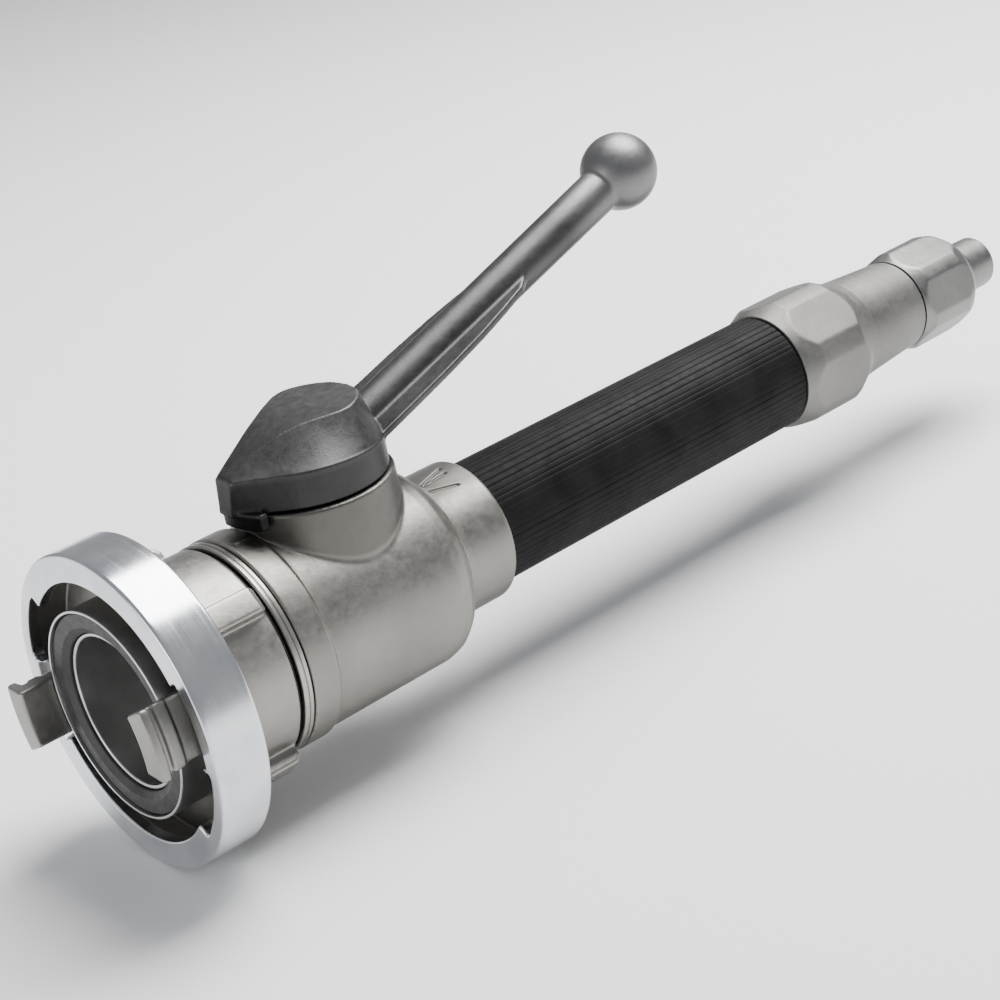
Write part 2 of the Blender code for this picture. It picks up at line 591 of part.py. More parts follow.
def build_mouthpiece():
    mouth = turned("mouthpiece", [
        (JOINT_X + GAP, 14.3 * MM), (JOINT_X + GAP, 16.7 * MM), (346.6 * MM, SMALL_HEX_R),
        (366.0 * MM, SMALL_HEX_R), (369.4 * MM, 17.8 * MM), (372.4 * MM, 15.8 * MM),
        (374.6 * MM, 13.0 * MM), (376.4 * MM, 11.0 * MM), (379.0 * MM, 9.9 * MM),
        (TIP_X - 1.5 * MM, 9.7 * MM), (TIP_X - 0.4 * MM, 9.3 * MM), (TIP_X, 8.6 * MM),
        (TIP_X, JET_R + 0.7 * MM), (TIP_X - 0.7 * MM, JET_R), (383.0 * MM, JET_R),
        (366.0 * MM, 10.2 * MM), (358.0 * MM, 13.0 * MM), (358.0 * MM, 14.3 * MM)],
        DARK_CASTING, SMALL_STEPS)
    boolean(mouth, hexagon("mouth_hex", SMALL_HEX_FLAT, SMALL_HEX_FLAT_ANGLE, 0.335, 0.065),
            "INTERSECT")
    o_ring("mouthpiece_o_ring", 356.7 * MM, 13.1 * MM, 0.75 * MM, RUBBER)


clear_scene()
build_coupling()
build_valve()
build_lever()
build_barrel()
build_head()
build_mouthpiece()
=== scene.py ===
"""Looks for the fire hose nozzle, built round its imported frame.

Frame: +X along the waterway from the coupling face to the tip, +Z along the valve stem.
Angles round X are in degrees, from +Y towards +Z. Shapes are worked out in millimetres.
"""
import math

import bpy
import numpy as np
from mathutils import Matrix, Vector


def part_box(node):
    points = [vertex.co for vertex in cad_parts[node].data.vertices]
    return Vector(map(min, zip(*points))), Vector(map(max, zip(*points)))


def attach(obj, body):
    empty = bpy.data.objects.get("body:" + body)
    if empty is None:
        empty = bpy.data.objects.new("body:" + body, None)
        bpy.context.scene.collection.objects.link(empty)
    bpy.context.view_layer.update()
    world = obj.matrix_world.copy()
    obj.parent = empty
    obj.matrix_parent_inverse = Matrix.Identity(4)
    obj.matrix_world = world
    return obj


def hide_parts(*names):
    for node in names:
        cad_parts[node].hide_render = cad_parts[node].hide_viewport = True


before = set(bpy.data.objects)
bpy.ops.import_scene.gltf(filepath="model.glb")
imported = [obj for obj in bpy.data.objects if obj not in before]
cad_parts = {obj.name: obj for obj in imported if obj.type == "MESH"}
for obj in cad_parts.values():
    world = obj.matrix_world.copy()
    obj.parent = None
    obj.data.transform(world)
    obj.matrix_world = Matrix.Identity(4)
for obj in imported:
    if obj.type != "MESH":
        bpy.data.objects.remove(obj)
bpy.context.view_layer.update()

MM = 0.001


def box_mm(node):
    low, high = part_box(node)
    return np.array(low) / MM, np.array(high) / MM


# ---- places and sizes, from the frame --------------------------------------------------------
ring_low, ring_high = box_mm("coupling_ring")
tail_low, tail_high = box_mm("coupling_tail")
body_low, body_high = box_mm("valve_body")
lever_high = box_mm("lever")[1]
grip_low, grip_high = box_mm("grip_sleeve")
head_low = box_mm("spray_head")[0]
mouth_low, mouth_high = box_mm("mouthpiece")
stem_low, stem_high = box_mm("valve_stem")

RING_R = ring_high[1]
RING_LENGTH = 17.0
SKIRT_R = 33.6
SKIRT_END = ring_high[0]
FLANGE_R = 40.5
GROOVE_R = 45.2
CLAW_REACH = ring_low[0]
CLAW_ANGLES = (-11, 169)
CLAW_SWEEP = 30
POCKET_ANGLES = (23.5, 203.5)
POCKET_SWEEP = 33
PAD_ANGLES = (-44, 46, 135, 226)
PAD_SWEEP = 12.5

HEAD_R = tail_high[1]
NECK_R = 28.9
BORE_R = 23.2
CAVITY_R = 27.3
BODY_FRONT, BODY_END = body_low[0], body_high[0]
BODY_R = 33.0
BODY_FLANGE_R = 34.2
COLLAR_R = 23.6
SHOULDER = 104.7
SOCKET_R = 17.5

STEM_X = (stem_low[0] + stem_high[0]) / 2
STEM_BORE_R = 8.9
STEM_BORE_STEP = (30.3, 11.2)       # below this height the bore is this wide
BOSS_TOP = 40.2
BOSS_R = 25.6
MARK_HALF = 0.42    # the cast-in marks' half width and depth
MARK_DEPTH = 0.55
HUB_BOTTOM = 40.8
HUB_R = 24.3
HUB_TOP = 62.7
HUB_TIP_X = 49.5
HUB_TIP_HALF = 3.3
HUB_LENGTH = 54.6
CREASE = 51.6       # height of the edge between the hub's sides and its rim, at the tip
# Curves along the hub: the far side's half width, the top face's half width and its height.
HUB_FAR_SIDE = ((HUB_TIP_X, 55, 60, 66, 72, 78, 84), (HUB_TIP_HALF, 4.6, 8.0, 13.0, 17.8, 21.9, 23.9))
RIDGE_HALF = ((50.8, 54, 60, 66, 72, 78, 84, 88, 92, 95, 97.5, 99.2, 100),
              (2.5, 3.4, 4.8, 6.8, 9.2, 12.3, 15.2, 15.6, 13.9, 11.6, 8.6, 5.0, 0))
RIDGE_HEIGHT = ((44, 50.8, 56, 62, 68, 74, 80, 88, 96, 112),
                (49.0, 52.2, 54.9, 57.8, 60.1, 61.6, 62.3, 62.6, HUB_TOP, HUB_TOP))
LUG_R = 28.2        # the stop lug's middle line, round the stem
LUG_Z = 39.4
DRIVE_HALF = 6.3    # square pocket for the stem's drive
DRIVE_TOP = 54.4
SCREW_R = 2.8
SCREW_Z = 48.5
KNOB_R = 12.5
KNOB = np.array([lever_high[0] - KNOB_R, 0.0, lever_high[2] - KNOB_R])
BAR_ROOT = np.array([92.0, 0.0, 46.5])
BAR_R = 6.6
BAR_SWELL = 0.7     # how much thicker the bar is at the knob
FIN_LENGTH = 82
FIN_HALF = ((0, 14, 36, 54, 66, 76, FIN_LENGTH), (14.8, 14.8, 14.5, 13.5, 12.1, 10.4, 6.4))

GRIP_START, GRIP_END = grip_low[0], grip_high[0]
GRIP_R = grip_high[2]
GRIP_RIBS = 58
HEAD_START = head_low[0]
HEX_R = 23.7
HEX_FLAT = 22.2
HEX_ANGLE = 131
SMALL_HEX_R = 18.6
SMALL_HEX_FLAT = 17.3
SMALL_HEX_ANGLE = 167
JOINT_X = mouth_low[0] - 0.3
TIP_X = mouth_high[0]
JET_R = 4.5


# ---- outlines and distances ------------------------------------------------------------------
def rounded(outline):
    """Turns (along, radius, fillet) corners into arcs, with a support point just past each."""
    points, support = [], 0.12
    for index, corner in enumerate(outline):
        here = np.array(corner[:2], float)
        if len(corner) < 3:
            points.append(here)
            continue
        back = np.array(outline[index - 1][:2], float) - here
        ahead = np.array(outline[(index + 1) % len(outline)][:2], float) - here
        back_length, ahead_length = np.linalg.norm(back), np.linalg.norm(ahead)
        back, ahead = back / back_length, ahead / ahead_length
        half = math.acos(float(np.clip(back @ ahead, -1, 1))) / 2
        cut = min(corner[2] / math.tan(half), 0.45 * back_length, 0.45 * ahead_length)
        radius = cut * math.tan(half)
        middle = here + (back + ahead) / np.linalg.norm(back + ahead) * radius / math.sin(half)
        first, last = here + back * cut - middle, here + ahead * cut - middle
        turn = math.pi - 2 * half
        steps = max(2, math.ceil(turn / math.radians(14)))
        if back_length - cut > 4 * support:
            points.append(here + back * (cut + support))
        for step in range(steps + 1):
            share = step / steps
            points.append(middle + (first * math.sin((1 - share) * turn)
                                    + last * math.sin(share * turn)) / math.sin(turn))
        if ahead_length - cut > 4 * support:
            points.append(here + ahead * (cut + support))
    return np.array(points)


def polygon_distance(u, v, outline):
    """Signed distance to a closed outline, negative inside."""
    best, inside = np.full(u.shape, 1e9), np.zeros(u.shape, bool)
    for (u0, v0), (u1, v1) in zip(outline, np.roll(outline, -1, axis=0)):
        du, dv = u1 - u0, v1 - v0
        length2 = du * du + dv * dv
        if length2 < 1e-12:
            continue
        share = np.clip(((u - u0) * du + (v - v0) * dv) / length2, 0, 1)
        best = np.minimum(best, (u - u0 - share * du) ** 2 + (v - v0 - share * dv) ** 2)
        if abs(dv) > 1e-12:
            inside ^= ((v0 > v) != (v1 > v)) & (u < u0 + (v - v0) / dv * du)
    return np.where(inside, -1.0, 1.0) * np.sqrt(best)


class Table:
    """Values on a fine flat grid, read back between its nodes."""

    def __init__(self, low, high, step, values_at):
        self.low, self.step = np.array(low, float), step
        axes = [np.arange(a, b + step, step) for a, b in zip(low, high)]
        self.values = values_at(*np.meshgrid(*axes, indexing="ij"))

    def __call__(self, u, v):
        size = self.values.shape
        a = np.clip((u - self.low[0]) / self.step, 0, size[0] - 1.001)
        b = np.clip((v - self.low[1]) / self.step, 0, size[1] - 1.001)
        i, j = a.astype(int), b.astype(int)
        a, b = a - i, b - j
        t = self.values
        return ((t[i, j] * (1 - a) + t[i + 1, j] * a) * (1 - b)
                + (t[i, j + 1] * (1 - a) + t[i + 1, j + 1] * a) * b)


def section(outline):
    """The signed distance to a rounded outline, as a function of (along, radius)."""
    points, margin = rounded(outline), 6.0
    return Table(points.min(0) - margin, points.max(0) + margin, 0.12,
                 lambda u, v: polygon_distance(u, v, points))


def soft_min(a, b, blend):
    share = np.clip(0.5 + 0.5 * (b - a) / blend, 0, 1)
    return b + (a - b) * share - blend * share * (1 - share)


def soft_max(a, b, blend):
    return -soft_min(-a, -b, blend)


def sector(angle, radius, centre, sweep):
    away = np.abs((angle - centre + 180) % 360 - 180) - sweep / 2
    return radius * np.sin(np.radians(np.clip(away, -90, 90)))


# ---- meshes ----------------------------------------------------------------------------------
def add_piece(name, points, faces, finish, body, slot, replaced):
    mesh = bpy.data.meshes.new(name)
    mesh.from_pydata((np.asarray(points) * MM).tolist(), [], np.asarray(faces).tolist())
    mesh.validate()
    mesh.shade_smooth()
    mesh.materials.append(finish)
    piece = bpy.data.objects.new(name, mesh)
    bpy.context.scene.collection.objects.link(piece)
    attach(piece, body)
    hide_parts(replaced)
    return piece


def split_long(points, longest):
    """Adds points to the outline's sides, so that none is longer than longest."""
    dense = []
    for first, second in zip(points, np.roll(points, -1, axis=0)):
        parts = max(1, math.ceil(np.linalg.norm(second - first) / longest))
        dense += [first + (second - first) * part / parts for part in range(parts)]
    return np.array(dense)


def spun(outline, segments=216, longest=None, shape=None):
    """Turns a closed outline round X; shape(angle, along, radius) may change the radius."""
    points = rounded(outline)
    if longest:
        points = split_long(points, longest)
    ahead = np.roll(points, -1, axis=0)
    if (points[:, 0] * ahead[:, 1] - ahead[:, 0] * points[:, 1]).sum() < 0:
        points = points[::-1]
    count = len(points)
    angle = np.repeat(np.arange(segments) * 360 / segments, count)
    along, radius = np.tile(points[:, 0], segments), np.tile(points[:, 1], segments)
    if shape:
        radius = shape(angle, along, radius)
    turn = np.radians(angle)
    places = np.stack([along, radius * np.cos(turn), radius * np.sin(turn)], 1)
    i, j = np.meshgrid(np.arange(segments), np.arange(count), indexing="ij")
    nxt_i, nxt_j = (i + 1) % segments, (j + 1) % count
    faces = np.stack([i * count + j, i * count + nxt_j, nxt_i * count + nxt_j,
                      nxt_i * count + j], -1)
    return places, faces.reshape(-1, 4)


def surface_net(values, periodic):
    """The zero level of a grid of distances: vertices in grid steps, and quads facing out."""
    count = values.shape[0]
    if periodic:
        values = np.concatenate([values, values[:1]])
    cells = tuple(size - 1 for size in values.shape)
    inside = values < 0
    flat_ids, places, quads = [], [], []
    for axis in range(3):
        near, far = [slice(None)] * 3, [slice(None)] * 3
        near[axis], far[axis] = slice(0, -1), slice(1, None)
        edge = np.argwhere(inside[tuple(near)] != inside[tuple(far)])
        if periodic and axis:
            edge = edge[edge[:, 0] < count]
        step = np.zeros(3, int)
        step[axis] = 1
        first, second = values[tuple(edge.T)], values[tuple((edge + step).T)]
        crossing = edge.astype(float)
        crossing[:, axis] += first / (first - second)
        across, up = (axis + 1) % 3, (axis + 2) % 3
        corners = []
        for shift_across, shift_up in ((-1, -1), (0, -1), (0, 0), (-1, 0)):
            cell, place = edge.copy(), crossing.copy()
            cell[:, across] += shift_across
            cell[:, up] += shift_up
            wrap = cell[:, 0] < 0
            cell[wrap, 0] += count
            place[wrap, 0] += count
            flat = np.ravel_multi_index(cell.T, cells)
            corners.append(flat)
            flat_ids.append(flat)
            places.append(place)
        quad = np.stack(corners, 1)
        turned_in = first > 0
        quad[turned_in] = quad[turned_in][:, ::-1]
        quads.append(quad)
    used, quad_ids = np.unique(np.concatenate(quads), return_inverse=True)
    which = np.searchsorted(used, np.concatenate(flat_ids))
    places = np.concatenate(places)
    share = np.bincount(which, minlength=len(used))
    points = np.stack([np.bincount(which, places[:, k], len(used)) / share for k in range(3)], 1)
    return points, quad_ids.reshape(-1, 4)


def settle(points, distance, reach, rounds=3):
    """Moves points along the gradient onto the distance's zero level."""
    probe = 0.03
    for _ in range(rounds):
        here = distance(*points.T)
        slope = np.stack([(distance(*(points + probe * axis).T) - here) / probe
                          for axis in np.eye(3)], 1)
        move = -here / np.maximum((slope ** 2).sum(1), 0.25)
        points = points + np.clip(move, -reach, reach)[:, None] * slope
    return points


def round_x(angle, along, radius):
    turn = np.radians(angle)
    return along, radius * np.cos(turn), radius * np.sin(turn)


def net_round_x(distance, segments, along, radius):
    """Meshes a distance on a grid of (angle, along, radius), so turned edges run true."""
    angle = np.arange(segments) * 360 / segments
    values = distance(*round_x(*np.meshgrid(angle, along, radius, indexing="ij")))
    points, quads = surface_net(values, True)
    places = round_x(points[:, 0] * 360 / segments,
                     np.interp(points[:, 1], np.arange(len(along)), along),
                     np.interp(points[:, 2], np.arange(len(radius)), radius))
    return settle(np.stack(places, 1), distance, radius[1] - radius[0]), quads


def net_box(distance, *axes):
    values = distance(*np.meshgrid(*axes, indexing="ij"))
    points, quads = surface_net(values, False)
    places = [np.interp(points[:, k], np.arange(len(a)), a) for k, a in enumerate(axes)]
    return settle(np.stack(places, 1), distance, axes[1][1] - axes[1][0]), quads


# ---- materials -------------------------------------------------------------------------------
class Finish:
    """A Principled material with short calls for the nodes that the finishes share."""

    def __init__(self, name, roughness, metallic, **settings):
        self.material = bpy.data.materials.new(name)
        self.material.use_nodes = True
        self.tree = self.material.node_tree
        self.shader = self.tree.nodes["Principled BSDF"]
        self.shader.inputs["Roughness"].default_value = roughness
        self.shader.inputs["Metallic"].default_value = metallic
        for socket, value in settings.items():
            self.shader.inputs[socket].default_value = value
        self.place = self.add("ShaderNodeTexCoord").outputs["Object"]

    def add(self, kind, inputs=None, **settings):
        node = self.tree.nodes.new(kind)
        for setting, value in settings.items():
            setattr(node, setting, value)
        for socket, value in (inputs or {}).items():
            if isinstance(value, bpy.types.NodeSocket):
                self.tree.links.new(value, node.inputs[socket])
            else:
                node.inputs[socket].default_value = value
        return node

    def noise(self, scale, detail=3.0, place=None, rough=0.55):
        return self.add("ShaderNodeTexNoise", {
            "Vector": place or self.place, "Scale": scale, "Detail": detail,
            "Roughness": rough}).outputs["Fac"]

    def maths(self, operation, first, second=0.0):
        return self.add("ShaderNodeMath", {0: first, 1: second}, operation=operation).outputs[0]

    def ranged(self, value, low, high, to_low, to_high):
        return self.add("ShaderNodeMapRange", {
            "Value": value, "From Min": low, "From Max": high, "To Min": to_low,
            "To Max": to_high}).outputs["Result"]

    def length(self, vector):
        return self.add("ShaderNodeVectorMath", {0: vector}, operation="LENGTH").outputs["Value"]

    def mixed(self, factor, first, second):
        node = self.add("ShaderNodeMix", {0: factor, 6: first, 7: second}, data_type="RGBA")
        return node.outputs[2]

    def mixed_value(self, factor, first, second):
        return self.add("ShaderNodeMix", {0: factor, 2: first, 3: second}).outputs[0]

    def axes(self):
        """The place's along and radius values."""
        parts = self.add("ShaderNodeSeparateXYZ", {0: self.place}).outputs
        flat = self.add("ShaderNodeCombineXYZ", {"Y": parts["Y"], "Z": parts["Z"]}).outputs[0]
        return parts["X"], self.length(flat)

    def lathe_lines(self, scale):
        along, radius = self.axes()
        rings = self.add("ShaderNodeCombineXYZ", {"X": along, "Y": radius}).outputs[0]
        return self.noise(scale, 2.0, rings)

    def bump(self, height, strength, distance, under=None):
        inputs = {"Height": height, "Strength": strength, "Distance": distance}
        if under:
            inputs["Normal"] = under
        return self.add("ShaderNodeBump", inputs).outputs["Normal"]

    def use(self, **sockets):
        names = {"colour": "Base Color", "roughness": "Roughness", "normal": "Normal"}
        for name, value in sockets.items():
            self.tree.links.new(value, self.shader.inputs[names[name]])
        return self.material


def rgb(*values):
    return (*values, 1.0)


def cast_look(finish, dark, light, low_rough, high_rough, grain):
    """Tumbled casting: broad cloudy tone, small rubbed marks, a fine grain."""
    cloud, marks = finish.noise(38, 4.0), finish.noise(330, 5.0, rough=0.7)
    tone = finish.maths("ADD", finish.maths("MULTIPLY", cloud, 0.6),
                        finish.maths("MULTIPLY", marks, 0.4))
    colour = finish.mixed(finish.ranged(tone, 0.3, 0.7, 0, 1), dark, light)
    edge = finish.add("ShaderNodeNewGeometry").outputs["Pointiness"]
    worn = finish.maths("MULTIPLY", finish.ranged(edge, 0.515, 0.57, 0, 0.35), marks)
    colour = finish.mixed(worn, colour, rgb(*(min(1.0, 2.1 * part) for part in light[:3])))
    roughness = finish.ranged(marks, 0.3, 0.7, low_rough, high_rough)
    skin = finish.bump(finish.noise(1500, 3.0), grain, 0.00012)
    dents = finish.bump(finish.noise(240, 2.0), grain * 0.6, 0.0004, skin)
    return colour, roughness, dents


def cast_metal(name, dark, light, low_rough, high_rough, grain=0.25):
    finish = Finish(name, high_rough, 1.0)
    colour, roughness, normal = cast_look(finish, dark, light, low_rough, high_rough, grain)
    return finish.use(colour=colour, roughness=roughness, normal=normal)


def turned_look(finish, dark, light, low_rough, high_rough):
    lines, cloud = finish.lathe_lines(3200), finish.noise(60, 3.0)
    colour = finish.mixed(finish.ranged(cloud, 0.35, 0.65, 0, 1), dark, light)
    streaks = finish.maths("MULTIPLY", finish.maths("ADD", lines, cloud), 0.5)
    roughness = finish.ranged(streaks, 0.35, 0.65, low_rough, high_rough)
    return colour, roughness, finish.bump(lines, 0.07, 0.00005)


def turned_metal(name, dark, light, low_rough, high_rough):
    finish = Finish(name, high_rough, 1.0)
    colour, roughness, normal = turned_look(finish, dark, light, low_rough, high_rough)
    return finish.use(colour=colour, roughness=roughness, normal=normal)


def ring_metal():
    """Polished band and front face, with the casting's own skin on claws, groove and skirt."""
    finish = Finish("ring_aluminium", 0.3, 1.0)
    bright = turned_look(finish, rgb(0.56, 0.58, 0.61), rgb(0.70, 0.71, 0.73), 0.13, 0.25)
    cast = cast_look(finish, rgb(0.225, 0.22, 0.205), rgb(0.33, 0.32, 0.295), 0.34, 0.5, 0.25)
    along, radius = finish.axes()
    band = finish.maths("MULTIPLY", finish.maths("LESS_THAN", along, (RING_LENGTH - 0.2) * MM),
                        finish.maths("GREATER_THAN", radius, (FLANGE_R - 0.2) * MM))
    front = finish.maths("GREATER_THAN", along, -1.0 * MM)
    groove = finish.maths("MULTIPLY", finish.maths("GREATER_THAN", along, 3.6 * MM),
                          finish.maths("LESS_THAN", radius, (GROOVE_R + 0.4) * MM))
    mask = finish.maths("MULTIPLY", finish.maths("MULTIPLY", band, front),
                        finish.maths("SUBTRACT", 1.0, groove))
    normal = finish.add("ShaderNodeMix", {0: mask, 4: cast[2], 5: bright[2]},
                        data_type="VECTOR").outputs[1]
    return finish.use(colour=finish.mixed(mask, cast[0], bright[0]),
                      roughness=finish.mixed_value(mask, cast[1], bright[1]), normal=normal)


def body_metal():
    """Tumbled casting, with a painted shadow of the hub darkening the boss below the lever."""
    finish = Finish("body_casting", 0.5, 1.0)
    colour, roughness, normal = cast_look(finish, rgb(0.19, 0.184, 0.168),
                                          rgb(0.285, 0.273, 0.247), 0.36, 0.52, 0.25)
    parts = finish.add("ShaderNodeSeparateXYZ", {0: finish.place}).outputs
    flat = finish.add("ShaderNodeCombineXYZ", {
        "X": finish.maths("SUBTRACT", parts["X"], STEM_X * MM), "Y": parts["Y"]}).outputs[0]
    radius = finish.axes()[1]
    # Painted shadow: the boss, above the barrel and within the hub's reach, is mixed towards
    # near-black.
    above = finish.ranged(radius, (BODY_R + 0.2) * MM, (BODY_R + 1.6) * MM, 0.0, 1.0)
    near = finish.ranged(finish.length(flat), 26.2 * MM, 27.2 * MM, 0.52, 0.0)
    boss = finish.maths("MULTIPLY", above, near)
    return finish.use(colour=finish.mixed(boss, colour, rgb(0.024, 0.022, 0.020)),
                      roughness=roughness, normal=normal)


def lever_metal():
    """Dark casting, with painted light: painted shade under the hub and on its rim below the crease,
    and a painted highlight on the knob.
    """
    finish = Finish("lever_casting", 0.5, 1.0)
    colour, roughness, normal = cast_look(finish, rgb(0.062, 0.062, 0.064),
                                          rgb(0.104, 0.102, 0.1), 0.38, 0.52, 0.25)
    parts = finish.add("ShaderNodeSeparateXYZ", {0: finish.place}).outputs
    # Painted shade: below the crease height, the hub's sides and the bar's root are mixed towards
    # near-black.
    rim = finish.ranged(parts["Z"], (CREASE - 2.1) * MM, (CREASE + 1.4) * MM, 0.5, 0.0)
    # Painted shade under the hub: its underside and the stop lug are mixed towards near-black.
    under = finish.ranged(parts["Z"], (HUB_BOTTOM - 0.2) * MM, (HUB_BOTTOM + 0.8) * MM, 0.9, 0.0)
    # Painted highlight: the knob and the bar near it are mixed towards a lighter grey.
    from_knob = finish.add("ShaderNodeVectorMath", {0: finish.place, 1: KNOB * MM},
                           operation="DISTANCE").outputs["Value"]
    knob = finish.ranged(from_knob, (KNOB_R + 1) * MM, 34 * MM, 0.7, 0.0)
    colour = finish.mixed(rim, colour, rgb(0.012, 0.012, 0.013))
    colour = finish.mixed(under, colour, rgb(0.012, 0.012, 0.012))
    return finish.use(colour=finish.mixed(knob, colour, rgb(0.22, 0.22, 0.22)),
                      roughness=roughness, normal=normal)


def rubber(name, dark, light, roughness, grain, shine=0.5):
    finish = Finish(name, roughness, 0.0, **{"Specular IOR Level": shine})
    cloud = finish.noise(90, 3.0)
    colour = finish.mixed(finish.ranged(cloud, 0.35, 0.65, 0, 1), dark, light)
    rough = finish.ranged(finish.noise(500, 3.0), 0.3, 0.7, roughness - 0.07, roughness + 0.07)
    return finish.use(colour=colour, roughness=rough,
                      normal=finish.bump(finish.noise(1800, 2.0), grain, 0.00008))


BODY_METAL = body_metal()
HEAD_METAL = cast_metal("head_casting", rgb(0.15, 0.147, 0.138), rgb(0.225, 0.221, 0.207), 0.46, 0.6)
LEVER_METAL = lever_metal()
MOUTH_METAL = cast_metal("mouthpiece_metal", rgb(0.16, 0.16, 0.155), rgb(0.24, 0.24, 0.23),
                         0.36, 0.48, 0.18)
RING_METAL = ring_metal()
TUBE_METAL = turned_metal("bore_turned", rgb(0.50, 0.50, 0.50), rgb(0.62, 0.62, 0.61), 0.28, 0.38)
CLAMP_METAL = turned_metal("clamp_turned", rgb(0.30, 0.29, 0.27), rgb(0.40, 0.39, 0.36), 0.26, 0.38)
STEEL = turned_metal("ground_steel", rgb(0.5, 0.5, 0.51), rgb(0.62, 0.62, 0.63), 0.2, 0.32)
BRASS = turned_metal("turned_brass", rgb(0.62, 0.46, 0.2), rgb(0.74, 0.57, 0.28), 0.24, 0.34)
GRIP_RUBBER = rubber("grip_rubber", rgb(0.006, 0.006, 0.006), rgb(0.012, 0.012, 0.012), 0.52, 0.2,
                     0.08)
SEAL_RUBBER = rubber("seal_rubber", rgb(0.012, 0.012, 0.012), rgb(0.026, 0.026, 0.026), 0.55, 0.2)
SEAT_PLASTIC = rubber("seat_plastic", rgb(0.74, 0.73, 0.68), rgb(0.86, 0.85, 0.8), 0.45, 0.1)


# ---- coupling --------------------------------------------------------------------------------
def ring_distance():
    turned = section([
        (0, FLANGE_R, 0.4), (0, RING_R, 0.9), (RING_LENGTH, RING_R, 0.7),
        (RING_LENGTH, SKIRT_R + 1.6, 1.2), (SKIRT_END - 17.6, SKIRT_R, 3.0),
        (SKIRT_END, SKIRT_R, 0.7), (SKIRT_END, NECK_R + 0.4), (13.5, NECK_R + 0.4),
        (13.5, GROOVE_R, 0.8), (4.2, GROOVE_R, 0.8), (4.2, FLANGE_R, 0.4)])
    claw = section([
        (CLAW_REACH, 33.4, 0.8), (CLAW_REACH, 41.6, 1.1), (CLAW_REACH + 2.9, 41.6, 0.6),
        (CLAW_REACH + 3.6, 38.3, 0.5), (CLAW_REACH + 5.0, 38.3, 0.5),
        (CLAW_REACH + 5.7, 39.2, 0.4), (CLAW_REACH + 9.0, 39.2, 0.4),
        (CLAW_REACH + 9.8, 38.4, 0.4), (14.6, 38.4), (14.6, 33.4)])
    pad = section([
        (14, SKIRT_R - 3), (14, 38.8), (36.5, 38.8, 1.2), (38.5, 36.8, 0.8), (38.5, SKIRT_R - 3)])

    def distance(x, y, z):
        radius, angle = np.hypot(y, z), np.degrees(np.arctan2(z, y))
        solid = turned(x, radius)
        for centre in PAD_ANGLES:
            side = sector(angle, radius, centre, PAD_SWEEP)
            solid = soft_min(solid, soft_max(side, pad(x, radius), 1.0), 1.1)
        for centre in POCKET_ANGLES:
            cut = soft_max(sector(angle, radius, centre, POCKET_SWEEP),
                           radius - (GROOVE_R - 0.3), 2.2)
            solid = soft_max(solid, -soft_max(cut, x - 5.0, 0.4), 0.7)
        for centre in CLAW_ANGLES:
            bevel = (x * 3.5 + (radius - 43.8) * 3.2) / 4.74
            notch = soft_max(sector(angle, radius, centre, CLAW_SWEEP + 5), bevel, 0.4)
            solid = soft_max(solid, -notch, 0.4)
            side = sector(angle, radius, centre, CLAW_SWEEP)
            solid = soft_min(solid, soft_max(side, claw(x, radius), 0.9), 0.8)
        return solid
    return distance


def build_coupling():
    points, faces = net_round_x(ring_distance(), 420, np.arange(CLAW_REACH - 2, SKIRT_END + 2, 0.55),
                                np.arange(NECK_R - 1.5, RING_R + 1.5, 0.55))
    add_piece("coupling_ring_fine", points, faces, RING_METAL, "swivel", "cast_aluminium",
              "coupling_ring")
    front = tail_low[0]
    body_front = BODY_FRONT - 0.3
    spigot_r = CAVITY_R - 0.3
    tail = spun([
        (front, 31.8, 0.2), (front, HEAD_R, 0.3), (12.9, HEAD_R, 0.3), (12.9, NECK_R),
        (body_front, NECK_R), (body_front, spigot_r), (tail_high[0], spigot_r),
        (tail_high[0], 20.0, 0.4), (48.0, 20.0, 3), (40.0, BORE_R, 3), (1.6, BORE_R, 0.5),
        (1.6, 24.4, 0.3), (6.0, 24.4), (6.0, 31.8)])
    add_piece("coupling_tail_fine", *tail, TUBE_METAL, "branchpipe", "turned_aluminium",
              "coupling_tail")
    gasket = spun([
        (-0.4, 27.0, 0.5), (-0.4, 31.5, 0.5), (5.7, 31.5), (5.7, 24.7), (1.0, 24.7, 0.6)])
    add_piece("coupling_gasket_fine", *gasket, SEAL_RUBBER, "branchpipe", "black_rubber",
              "coupling_gasket")
    seal = spun([(SKIRT_END + 0.3, NECK_R + 0.3), (SKIRT_END + 0.3, 32.4, 0.3),
                 (40.7, 32.4, 0.3), (40.7, NECK_R + 0.3)])
    add_piece("swivel_seal_fine", *seal, SEAL_RUBBER, "branchpipe", "black_rubber", "swivel_seal")
    clamp = spun([(41.0, NECK_R + 0.3), (41.0, 33.9, 0.9), (42.4, 33.9, 0.2), (42.7, 33.3, 0.2),
                  (43.0, 33.9, 0.2), (44.4, 33.9, 0.6), (44.4, NECK_R + 0.3)])
    add_piece("clamp_ring_fine", *clamp, CLAMP_METAL, "branchpipe", "turned_aluminium",
              "clamp_ring")


# ---- valve body ------------------------------------------------------------------------------
def groove_lines():
    """Cast-in marks, as (along, angle) to (along, angle) lines with their surface radius."""
    spray = [((116.0, 109.8), (125.1, 116.0)), ((116.3, 101.8), (126.0, 98.8)),
             ((116.3, 100.2), (126.6, 90.5))]
    jet = [((47.5, 98.5), (52.8, 98.5))]
    return [(line, COLLAR_R) for line in spray] + [(line, BODY_FLANGE_R) for line in jet]


def mark_distance(x, angle, start, end, surface):
    """Distance to a straight mark laid out flat on a round surface."""
    across0, across1 = (math.radians(turn) * surface for turn in (start[1], end[1]))
    du, dv = end[0] - start[0], across1 - across0
    u, v = x - start[0], np.radians(angle) * surface - across0
    share = np.clip((u * du + v * dv) / (du * du + dv * dv), 0, 1)
    return np.hypot(u - share * du, v - share * dv) - MARK_HALF


